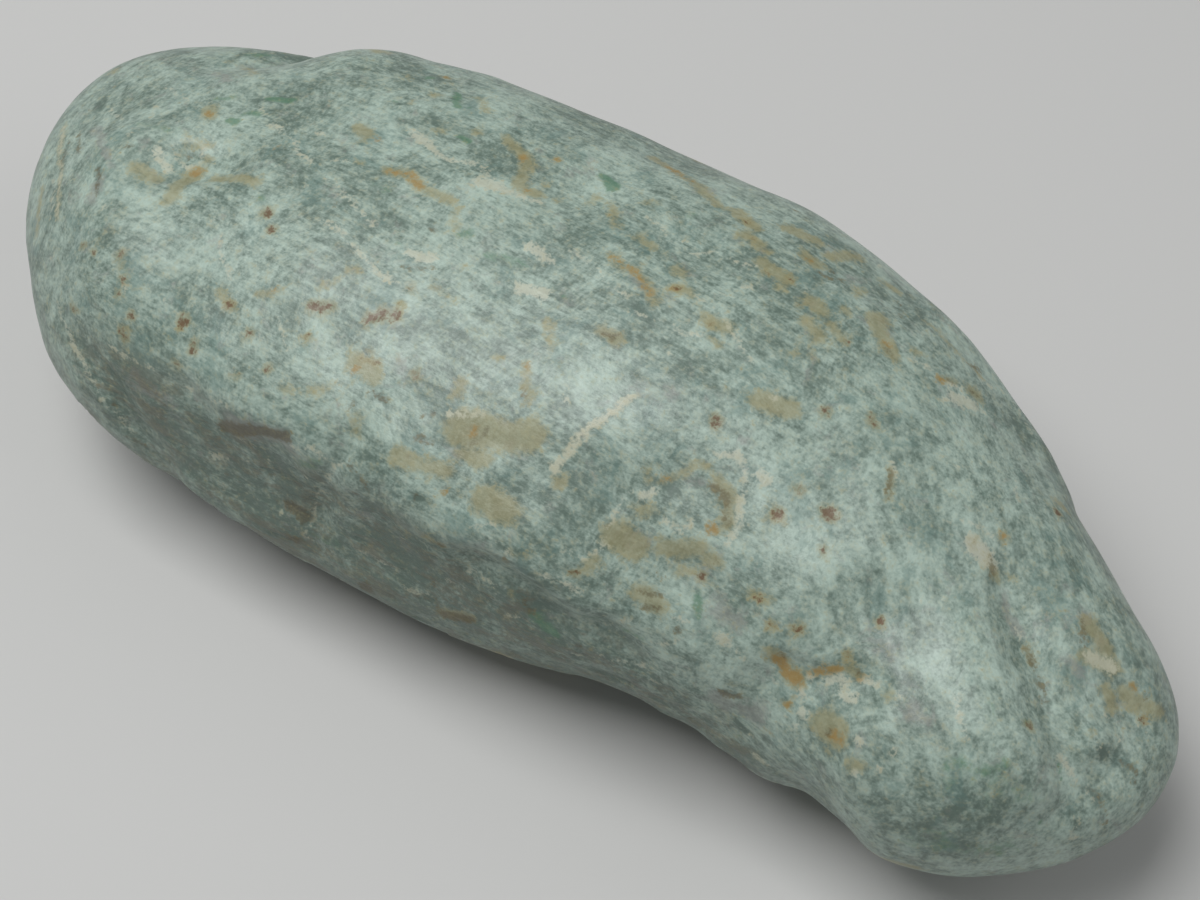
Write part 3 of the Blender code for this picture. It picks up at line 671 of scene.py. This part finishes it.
# Soft zones: the half width in mm, the strength and the pixels. Lighter or darker than the ground, partly
# in the stone's own tone and partly as painted light and shade. Lighter, in places as painted light where
# the crest and the foot face the light:
PALE_AND_LIT_ZONES = (
    (1.8, 0.5, ((390, 340), (425, 350))), (0.9, 0.5, ((166, 298),)), (0.8, 0.6, ((780, 230), (795, 262))),
    (3.5, 0.5, ((780, 470), (820, 560))), (4.0, 0.4, ((640, 420), (680, 460))),
    (2.6, 0.5, ((800, 700), (865, 700))), (2.4, 0.4, ((815, 740), (850, 760))),
    (3.5, 0.5, ((140, 200), (200, 260))), (3.0, 0.4, ((560, 360), (640, 400))),
)
# Darker, partly the stone's own darker patches and partly painted shade: in the hollows under the flank's
# flakes and on parts that face away from the light.
DARK_AND_SHADED_ZONES = (
    (1.6, 0.6, ((173, 116),)), (0.9, 0.5, ((315, 198),)), (1.2, 0.5, ((289, 215), (313, 215))),
    (0.9, 0.7, ((521, 226), (546, 232))), (0.6, 0.6, ((338, 330),)), (0.6, 0.6, ((382, 281),)),
    (0.8, 0.5, ((436, 344),)), (1.5, 0.5, ((723, 238), (743, 252))), (2.4, 0.6, ((990, 400), (1024, 440))),
    (0.9, 0.8, ((884, 271), (906, 292), (920, 314))), (2.0, 0.5, ((665, 495), (688, 520))),
    (2.8, 0.7, ((582, 583), (620, 600))), (0.9, 0.5, ((554, 405),)), (0.7, 0.9, ((418, 497),)),
    (0.7, 1.0, ((499, 532), (506, 541), (513, 549), (527, 551))), (1.1, 0.9, ((525, 572), (553, 587))),
    (1.8, 0.5, ((525, 525), (555, 545))), (1.4, 0.6, ((494, 625), (510, 628))),
    (1.4, 0.5, ((652, 625), (665, 640))), (1.5, 0.5, ((683, 660), (705, 685))),
    (2.5, 0.4, ((880, 640), (900, 670))), (0.9, 0.6, ((1072, 727),)), (0.8, 0.9, ((1141, 772),)),
    (0.7, 0.8, ((1029, 724),)), (1.8, 0.4, ((895, 600), (905, 640))), (3.5, 0.4, ((900, 440), (925, 520))),
    (0.9, 0.5, ((987, 703),)), (5.0, 0.4, ((700, 225), (760, 290), (810, 350))), (0.8, 1.0, ((188, 153),)),
    (2.4, 0.6, ((230, 420), (280, 438))), (0.5, 0.7, ((95, 170), (98, 193))),
    (0.9, 0.6, ((241, 51), (265, 54))), (0.8, 0.7, ((677, 629),)),
)
MAUVE_ZONES = (
    (0.9, 0.8, ((97, 129), (109, 155))), (2.4, 0.7, ((91, 193),)), (0.7, 0.6, ((110, 231),)),
    (0.8, 0.6, ((173, 283),)), (0.7, 0.6, ((233, 374),)), (1.6, 0.6, ((120, 370), (170, 400))),
    (0.8, 0.7, ((201, 48), (215, 72), (226, 81))), (0.7, 0.6, ((221, 88),)), (0.7, 0.6, ((292, 118),)),
    (0.9, 0.6, ((541, 151),)), (0.6, 0.6, ((944, 320), (958, 334))), (0.8, 0.6, ((403, 360),)),
    (0.7, 0.6, ((352, 272),)), (0.7, 0.6, ((813, 345), (813, 360))), (1.0, 0.6, ((686, 482), (700, 482))),
    (0.6, 0.6, ((742, 438),)), (2.4, 0.7, ((230, 420), (280, 438))), (0.8, 0.6, ((200, 455),)),
    (2.0, 0.7, ((715, 600), (730, 620))), (2.6, 0.6, ((720, 700), (760, 720))),
    (1.4, 0.6, ((912, 713), (925, 720))), (1.1, 0.7, ((1004, 590), (1008, 618), (1020, 632))),
    (1.3, 0.5, ((1068, 660), (1078, 668))), (1.5, 0.6, ((1088, 615), (1098, 640))),
    (1.2, 0.6, ((972, 546), (990, 562))),
)
GREEN_ZONES = (
    (1.0, 0.6, ((241, 51), (265, 54))), (0.6, 0.6, ((266, 61), (280, 61))),
    (1.0, 0.6, ((218, 100), (233, 100))), (0.9, 1.0, ((266, 100), (290, 100))),
    (0.8, 0.9, ((228, 120), (238, 120))), (0.8, 0.8, ((246, 113), (262, 113))), (0.5, 0.8, ((396, 175),)),
    (0.8, 0.7, ((263, 196),)), (1.0, 0.5, ((371, 184), (388, 190))), (0.8, 1.0, ((430, 78),)),
    (0.8, 1.0, ((453, 93), (458, 108))), (0.7, 0.9, ((469, 108),)), (0.8, 1.0, ((460, 136), (470, 141))),
    (0.6, 0.8, ((397, 103),)), (0.5, 0.7, ((393, 244), (401, 244))), (0.9, 1.0, ((604, 176), (612, 189))),
    (0.6, 0.8, ((600, 209),)), (1.2, 0.6, ((490, 256), (520, 262))), (0.7, 0.7, ((460, 234), (472, 234))),
    (0.7, 0.8, ((564, 294),)), (0.6, 0.7, ((655, 325), (662, 325))), (0.9, 0.5, ((691, 216),)),
    (1.3, 0.5, ((141, 124), (173, 129))), (1.2, 0.5, ((300, 463), (320, 463))),
    (1.3, 0.5, ((315, 535), (337, 545))), (1.4, 0.9, ((535, 618), (552, 632))), (0.9, 0.7, ((545, 640),)),
    (0.9, 0.8, ((698, 594), (699, 618))), (1.1, 0.6, ((628, 632), (642, 640))), (0.5, 0.9, ((738, 736),)),
    (1.4, 0.6, ((945, 768), (960, 765))), (1.4, 0.6, ((985, 770), (1000, 765))), (0.7, 0.8, ((937, 820),)),
    (0.7, 0.8, ((946, 835),)), (0.7, 1.0, ((1043, 818),)), (1.1, 0.5, ((988, 703), (990, 720))),
    (3.0, 0.5, ((930, 840), (1000, 850))), (0.6, 0.8, ((1058, 760), (1062, 780))),
    (0.9, 0.6, ((1029, 722),)), (3.5, 0.35, ((960, 780), (1020, 800))),
)

ochre = edged_patches(drawn(OCHRE) + hidden_marks(120, 61, 0.3, 1.1))
amber = edged_patches(drawn(AMBER) + hidden_marks(30, 62, 0.2, 0.5))
brown = edged_patches(drawn(BROWN) + hidden_marks(60, 63, 0.2, 0.6))
rust = edged_patches(drawn(RUST) + hidden_marks(40, 64, 0.2, 0.5))
cream = edged_patches(drawn(CREAM) + hidden_marks(110, 65, 0.2, 0.5))
# The tone field: the soft zones' paler and darker tone, with their painted light and painted shade.
tone_and_painted_light = soft_patches(drawn(PALE_AND_LIT_ZONES) + hidden_marks(12, 66, 1.5, 4.0, 0.5))
tone_and_painted_light -= soft_patches(drawn(DARK_AND_SHADED_ZONES) + hidden_marks(20, 67, 1.0, 3.5, 0.5))
mauve = soft_patches(drawn(MAUVE_ZONES) + hidden_marks(16, 68, 0.8, 2.4, 0.6))
green = soft_patches(drawn(GREEN_ZONES) + hidden_marks(24, 69, 0.7, 2.4, 0.8))

# The flank is the broken, scaly side below the front shoulder. Its upper border follows the shoulder, and
# the foliation comes out there as splinters that run along the stone.
FLANK_BORDER = (
    (-0.056, 10), (-0.040, 20), (-0.034, 22), (-0.022, 22), (-0.010, 22), (0.001, 20), (0.010, 15),
    (0.020, 10), (0.030, 2), (0.038, -6), (0.056, -20),
)
stations, turns = np.array(FLANK_BORDER).T
turn_degrees = np.degrees(turn + np.pi) % 360.0 - 180.0
below_border = np.interp(skin[:, 0], stations, turns) - turn_degrees + 3.0 * cloud(skin, 0.003, 71)
flank = np.clip(below_border / 8.0 + 0.5, 0.0, 1.0) * np.clip((turn_degrees + 75.0) / 25.0, 0.0, 1.0)
flank *= np.clip((skin[:, 0] + 0.050) / 0.012, 0.0, 1.0) * np.clip((0.040 - skin[:, 0]) / 0.010, 0.0, 1.0)

# Crumbly places, where chips have left broken grains.
CRUMBLE_ZONES = (
    (2.6, 0.8, ((640, 530), (665, 480), (715, 480), (735, 530), (690, 560))),
    (2.4, 1.0, ((640, 600), (700, 640))), (3.0, 0.8, ((430, 550), (500, 570), (580, 580))),
    (2.2, 1.0, ((800, 690), (850, 700), (870, 740))), (1.8, 1.0, ((820, 740), (850, 765))),
    (1.6, 1.0, ((945, 385), (980, 405))), (1.6, 0.8, ((180, 150), (200, 180))),
    (2.6, 0.6, ((460, 430), (530, 435))), (2.6, 0.6, ((1095, 620), (1100, 690), (1150, 710))),
    (1.6, 0.8, ((970, 540), (1000, 570))), (0.8, 1.0, ((1057, 754), (1074, 776))),
    (3.4, 0.7, ((660, 680), (740, 720))),
)
crumble = soft_patches(drawn(CRUMBLE_ZONES) + hidden_marks(14, 70, 1.0, 2.6, 0.8))

# The streaks of the foliation run along the stone on its top and back, round the blunt end, and steeply
# across the foot.
foot_streaks = np.clip((skin[:, 0] - 0.024) / 0.010, 0.0, 1.0)
end_streaks = np.clip((-0.040 - skin[:, 0]) / 0.008, 0.0, 1.0)


def facets(points, size, seed):
    """Broken facets from -1 to 1: each point takes the tilted plane of the nearest seeded centre, one
    centre in each cell of a cubic lattice."""
    random = np.random.default_rng(seed)
    offsets = random.uniform(0.0, 1.0, (LATTICE, LATTICE, LATTICE, 3))
    tilts = random.normal(size=(LATTICE, LATTICE, LATTICE, 3))
    place = points / size
    low = np.floor(place).astype(int)
    nearest = np.full(len(points), np.inf)
    height = np.zeros(len(points))
    for corner in itertools.product((-1, 0, 1), repeat=3):
        cell = low + corner
        index = tuple((cell % LATTICE).T)
        offset = place - cell - offsets[index]
        distance = np.linalg.norm(offset, axis=1)
        closer = distance < nearest
        nearest = np.where(closer, distance, nearest)
        height = np.where(closer, (offset * tilts[index]).sum(axis=1), height)
    return np.clip(height, -1.0, 1.0)


# The fine relief, in mm: grains, streaks, the flank's splinters, crumbled facets, pits and seams.
along_grain = skin * np.array([0.2, 1.0, 1.0])
splinters = skin * np.array([0.35, 1.0, 1.0])
fine = 0.020 * cloud(skin, 0.0030, 21) + 0.014 * cloud(skin, 0.0013, 22)
fine += (1.0 - flank) * 0.020 * cloud(along_grain, 0.0012, 23)
fine += flank * (0.11 * cloud(along_grain, 0.0017, 24) + 0.11 * facets(splinters, 0.0018, 25))
fine += crumble * (0.10 * facets(skin, 0.0017, 26) + 0.05 * cloud(skin, 0.0012, 27))
fine -= 0.14 * np.clip(rust + 0.3, 0.0, 1.0) + 0.07 * np.clip(brown + 0.3, 0.0, 1.0)
fine += 0.03 * np.clip(cream + 0.4, 0.0, 1.0) - 0.03 * np.clip(amber + 0.3, 0.0, 1.0)
hole, _ = on_stone([(188, 153)])
fine -= 0.45 * np.exp(-((np.linalg.norm(skin - hole[0], axis=1) / 0.0011) ** 4))


def planed(points):
    """Brought down to a flat spot at the flat level, with a soft parabolic rim."""
    height = points[:, 2] - flat_level
    rim = (height + FLAT_RIM) ** 2 / (4.0 * FLAT_RIM)
    height = np.where(np.abs(height) < FLAT_RIM, rim, np.maximum(height, 0.0))
    return np.stack([points[:, 0], points[:, 1], flat_level + height], axis=-1)


points = planed(skin + skin_normal * fine[:, None] * MM) + to_row_frame

quads, blunt_fan, foot_fan = grid_faces(RINGS, SPOKES)
mesh = bpy.data.meshes.new("jadeite_skin")
mesh.from_pydata(points, [], quads.tolist() + blunt_fan.tolist() + foot_fan.tolist())
mesh.shade_smooth()
MARKS = {
    "ochre": ochre, "amber": amber, "brown": brown, "rust": rust, "cream": cream, "tone_and_painted_light": tone_and_painted_light,
    "mauve": mauve, "green": green, "flank": flank, "crumble": crumble, "foot_streaks": foot_streaks,
    "end_streaks": end_streaks,
}
for name, values in MARKS.items():
    layer = mesh.attributes.new(name, "FLOAT", "POINT")
    layer.data.foreach_set("value", values.astype(np.float32))

# The jadeite itself: interlocked grains, pale green-grey to dark teal and mauve, with fibres, clouds and
# the marks above. Each mark shifts or is broken up by fine noise, as grains take up a stain one by one.
jadeite = bpy.data.materials.new("jadeite_skin")
jadeite.use_nodes = True
tree = jadeite.node_tree
shader = tree.nodes["Principled BSDF"]


def feed(socket, source):
    """Links a source socket, or sets a plain value."""
    if isinstance(source, bpy.types.NodeSocket):
        tree.links.new(source, socket)
    else:
        socket.default_value = source


def mark(name):
    node = tree.nodes.new("ShaderNodeAttribute")
    node.attribute_name = name
    return node.outputs["Fac"]


def noise(place, size, detail=2.0, roughness=0.5, distortion=0.0):
    """Blender's noise from 0 to 1, with a feature size in mm."""
    node = tree.nodes.new("ShaderNodeTexNoise")
    feed(node.inputs["Vector"], place)
    node.inputs["Scale"].default_value = 1.0 / (size * MM)
    node.inputs["Detail"].default_value = detail
    node.inputs["Roughness"].default_value = roughness
    node.inputs["Distortion"].default_value = distortion
    return node.outputs["Fac"]


def combined(kind, first, second):
    node = tree.nodes.new("ShaderNodeMath")
    node.operation = kind
    feed(node.inputs[0], first)
    feed(node.inputs[1], second)
    return node.outputs[0]


def weighed(*terms):
    """The sum of (socket - middle) x factor over the terms (socket, factor, middle)."""
    total = 0.0
    for socket, factor, middle in terms:
        part = combined("MULTIPLY", combined("SUBTRACT", socket, middle), factor)
        total = combined("ADD", total, part)
    return total


def stepped(value, low, high, low_out=0.0, high_out=1.0):
    """A smooth step from low to high."""
    node = tree.nodes.new("ShaderNodeMapRange")
    node.interpolation_type = "SMOOTHSTEP"
    feed(node.inputs["Value"], value)
    node.inputs["From Min"].default_value = low
    node.inputs["From Max"].default_value = high
    node.inputs["To Min"].default_value = low_out
    node.inputs["To Max"].default_value = high_out
    return node.outputs["Result"]


def blended(first, second, share):
    node = tree.nodes.new("ShaderNodeMix")
    feed(node.inputs[0], share)
    feed(node.inputs[2], first)
    feed(node.inputs[3], second)
    return node.outputs[0]


def colour(red, green, blue):
    """A screen colour of 0 to 255 as linear light."""
    screen = np.array([red, green, blue]) / 255.0
    light = np.where(screen <= 0.04045, screen / 12.92, ((screen + 0.055) / 1.055) ** 2.4)
    return (*light, 1.0)


def laid_over(under, over, weight):
    node = tree.nodes.new("ShaderNodeMix")
    node.data_type = "RGBA"
    feed(node.inputs["Factor"], weight)
    feed(node.inputs["A"], under)
    feed(node.inputs["B"], over)
    return node.outputs["Result"]


def stretched(place, turn_by, stretch):
    node = tree.nodes.new("ShaderNodeMapping")
    node.vector_type = "TEXTURE"
    feed(node.inputs["Vector"], place)
    node.inputs["Rotation"].default_value = [math.radians(angle) for angle in turn_by]
    node.inputs["Scale"].default_value = stretch
    return node.outputs["Vector"]


place_node = tree.nodes.new("ShaderNodeTexCoord")
place = place_node.outputs["Object"]
along_top = stretched(place, (0.0, 0.0, 0.0), (6.0, 1.0, 1.0))
across_foot = stretched(place, (0.0, 0.0, -41.0), (6.0, 1.0, 1.0))
round_end = stretched(place, (0.0, 0.0, 0.0), (1.0, 4.0, 4.0))

ground = noise(place, 9.0, 5.0, 0.95, 0.3)
grain = noise(place, 1.1, 3.0, 0.8)
speck = noise(place, 0.45, 2.0, 0.7)
hue = noise(place, 5.0, 4.0, 0.8, 0.5)
blotch = noise(place, 3.0, 4.0, 0.8, 0.4)
top_fibre = noise(along_top, 0.8, 4.0, 0.8, 0.3)
foot_fibre = noise(across_foot, 1.3, 4.0, 0.65, 0.3)
end_fibre = noise(round_end, 1.0, 4.0, 0.75, 0.3)
fibre = blended(blended(top_fibre, foot_fibre, mark("foot_streaks")), end_fibre, mark("end_streaks"))

PALE = colour(176, 196, 184)
DEEP = colour(96, 114, 104)
TEAL = colour(104, 132, 126)
MAUVE = colour(144, 144, 139)
LEEK = colour(84, 124, 98)
LIGHT_CREAM = colour(196, 198, 178)
STAIN = colour(154, 146, 104)
AMBER_STAIN = colour(152, 118, 52)
BROWN_STAIN = colour(86, 78, 54)
RUST_STAIN = colour(96, 62, 34)
FLANK_BROWN = colour(104, 100, 82)

# The flank is darkened partly for its weathered crust and partly as painted shade, darker than the crust
# alone so that the floor's bounced light doesn't lift it. The tone field adds the soft zones' painted light
# and shade.
tone = weighed(
    (ground, 1.6, 0.5), (grain, 0.55, 0.5), (speck, 0.45, 0.5), (fibre, 0.8, 0.5),
    (mark("tone_and_painted_light"), 0.16, 0.0), (mark("flank"), -0.17, 0.0),
)
base = laid_over(DEEP, PALE, stepped(tone, -0.36, 0.36))
base = laid_over(base, TEAL, combined("MULTIPLY", stepped(hue, 0.52, 0.64), 0.45))
mauve_clouds = stepped(weighed((blotch, 1.0, 0.5), (mark("mauve"), 0.35, 0.0)), 0.05, 0.25)
base = laid_over(base, MAUVE, combined("MULTIPLY", mauve_clouds, 0.5))
brown_clouds = stepped(weighed((hue, 1.0, 0.5), (fibre, 0.8, 0.5)), -0.04, 0.12)
flank_brown = combined("MULTIPLY", brown_clouds, mark("flank"))
base = laid_over(base, FLANK_BROWN, combined("MULTIPLY", flank_brown, 0.6))
leek_clouds = weighed((mark("green"), 1.0, 0.0), (fibre, 1.5, 0.5), (grain, 1.0, 0.5))
base = laid_over(base, LEEK, combined("MULTIPLY", stepped(leek_clouds, 0.25, 0.85), 0.75))

broken = weighed((grain, 2.2, 0.5), (speck, 1.8, 0.5))
stained = combined("ADD", mark("ochre"), broken)
base = laid_over(base, STAIN, combined("MULTIPLY", stepped(stained, -0.7, 0.7), 0.6))
creamy = combined("ADD", mark("cream"), broken)
base = laid_over(base, LIGHT_CREAM, combined("MULTIPLY", stepped(creamy, -0.25, 0.55), 0.65))
amber_grains = combined("ADD", mark("amber"), broken)
base = laid_over(base, AMBER_STAIN, combined("MULTIPLY", stepped(amber_grains, -0.5, 0.5), 0.75))
brown_grains = combined("ADD", mark("brown"), broken)
base = laid_over(base, BROWN_STAIN, combined("MULTIPLY", stepped(brown_grains, -0.3, 0.5), 0.7))
rust_grains = combined("ADD", mark("rust"), broken)
base = laid_over(base, STAIN, combined("MULTIPLY", stepped(rust_grains, -1.1, 0.0), 0.5))
base = laid_over(base, RUST_STAIN, combined("MULTIPLY", stepped(rust_grains, -0.3, 0.4), 0.8))

feed(shader.inputs["Base Color"], base)
dullness = weighed((grain, 1.0, 0.5), (mark("crumble"), 0.4, 0.0))
feed(shader.inputs["Roughness"], stepped(dullness, -0.2, 0.4, 0.38, 0.62))
shader.inputs["IOR"].default_value = 1.5
bump = tree.nodes.new("ShaderNodeBump")
bump.inputs["Distance"].default_value = 0.10 * MM
bump.inputs["Strength"].default_value = 0.7
grain_height = weighed((grain, 0.6, 0.0), (speck, 0.4, 0.0))
feed(bump.inputs["Height"], blended(grain_height, combined("MULTIPLY", fibre, 3.0), mark("flank")))
feed(shader.inputs["Normal"], bump.outputs["Normal"])

cobble = bpy.data.objects.new("jadeite_skin", mesh)
bpy.context.scene.collection.objects.link(cobble)
mesh.materials.append(jadeite)
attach(cobble, "root")
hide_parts("jadeite_cobble")

# The floor, a plain pale sheet that the stone lies on.
FLOOR_HALF = 1.5
floor_mesh = bpy.data.meshes.new("floor")
floor_corners = [(x * FLOOR_HALF, y * FLOOR_HALF, 0.0) for x, y in ((-1, -1), (1, -1), (1, 1), (-1, 1))]
floor_mesh.from_pydata(floor_corners, [], [(0, 1, 2, 3)])
floor = bpy.data.objects.new("floor", floor_mesh)
bpy.context.scene.collection.objects.link(floor)
floor_paint = bpy.data.materials.new("floor")
floor_paint.use_nodes = True
floor_paint.node_tree.nodes["Principled BSDF"].inputs["Base Color"].default_value = (0.60, 0.60, 0.59, 1.0)
floor_paint.node_tree.nodes["Principled BSDF"].inputs["Roughness"].default_value = 0.8
floor_mesh.materials.append(floor_paint)

# The light: a large soft key above, a little to the front and left, a weak fill, and a dim sky.
world = bpy.data.worlds.new("world")
bpy.context.scene.world = world
world.use_nodes = True
world.node_tree.nodes["Background"].inputs["Color"].default_value = (0.97, 0.99, 1.0, 1.0)
world.node_tree.nodes["Background"].inputs["Strength"].default_value = 0.20


def soft_light(name, place, size, watts):
    """A square area light that looks at the camera's target."""
    lamp = bpy.data.lights.new(name, "AREA")
    lamp.shape = "SQUARE"
    lamp.size = size
    lamp.energy = watts
    holder = bpy.data.objects.new(name, lamp)
    back_axis = unit(np.array(place) - TARGET)
    side_axis = unit(np.cross(np.array([0.0, 1.0, 0.0]), back_axis))
    top_axis = np.cross(back_axis, side_axis)
    holder.matrix_world = Matrix([
        (side_axis[i], top_axis[i], back_axis[i], place[i]) for i in range(3)
    ] + [(0.0, 0.0, 0.0, 1.0)])
    bpy.context.scene.collection.objects.link(holder)


soft_light("key", (-0.15, -0.10, 0.58), 0.36, 2.7)
soft_light("fill", (0.5, 0.2, 0.45), 0.5, 0.6)
bpy.context.scene.view_settings.view_transform = "Standard"
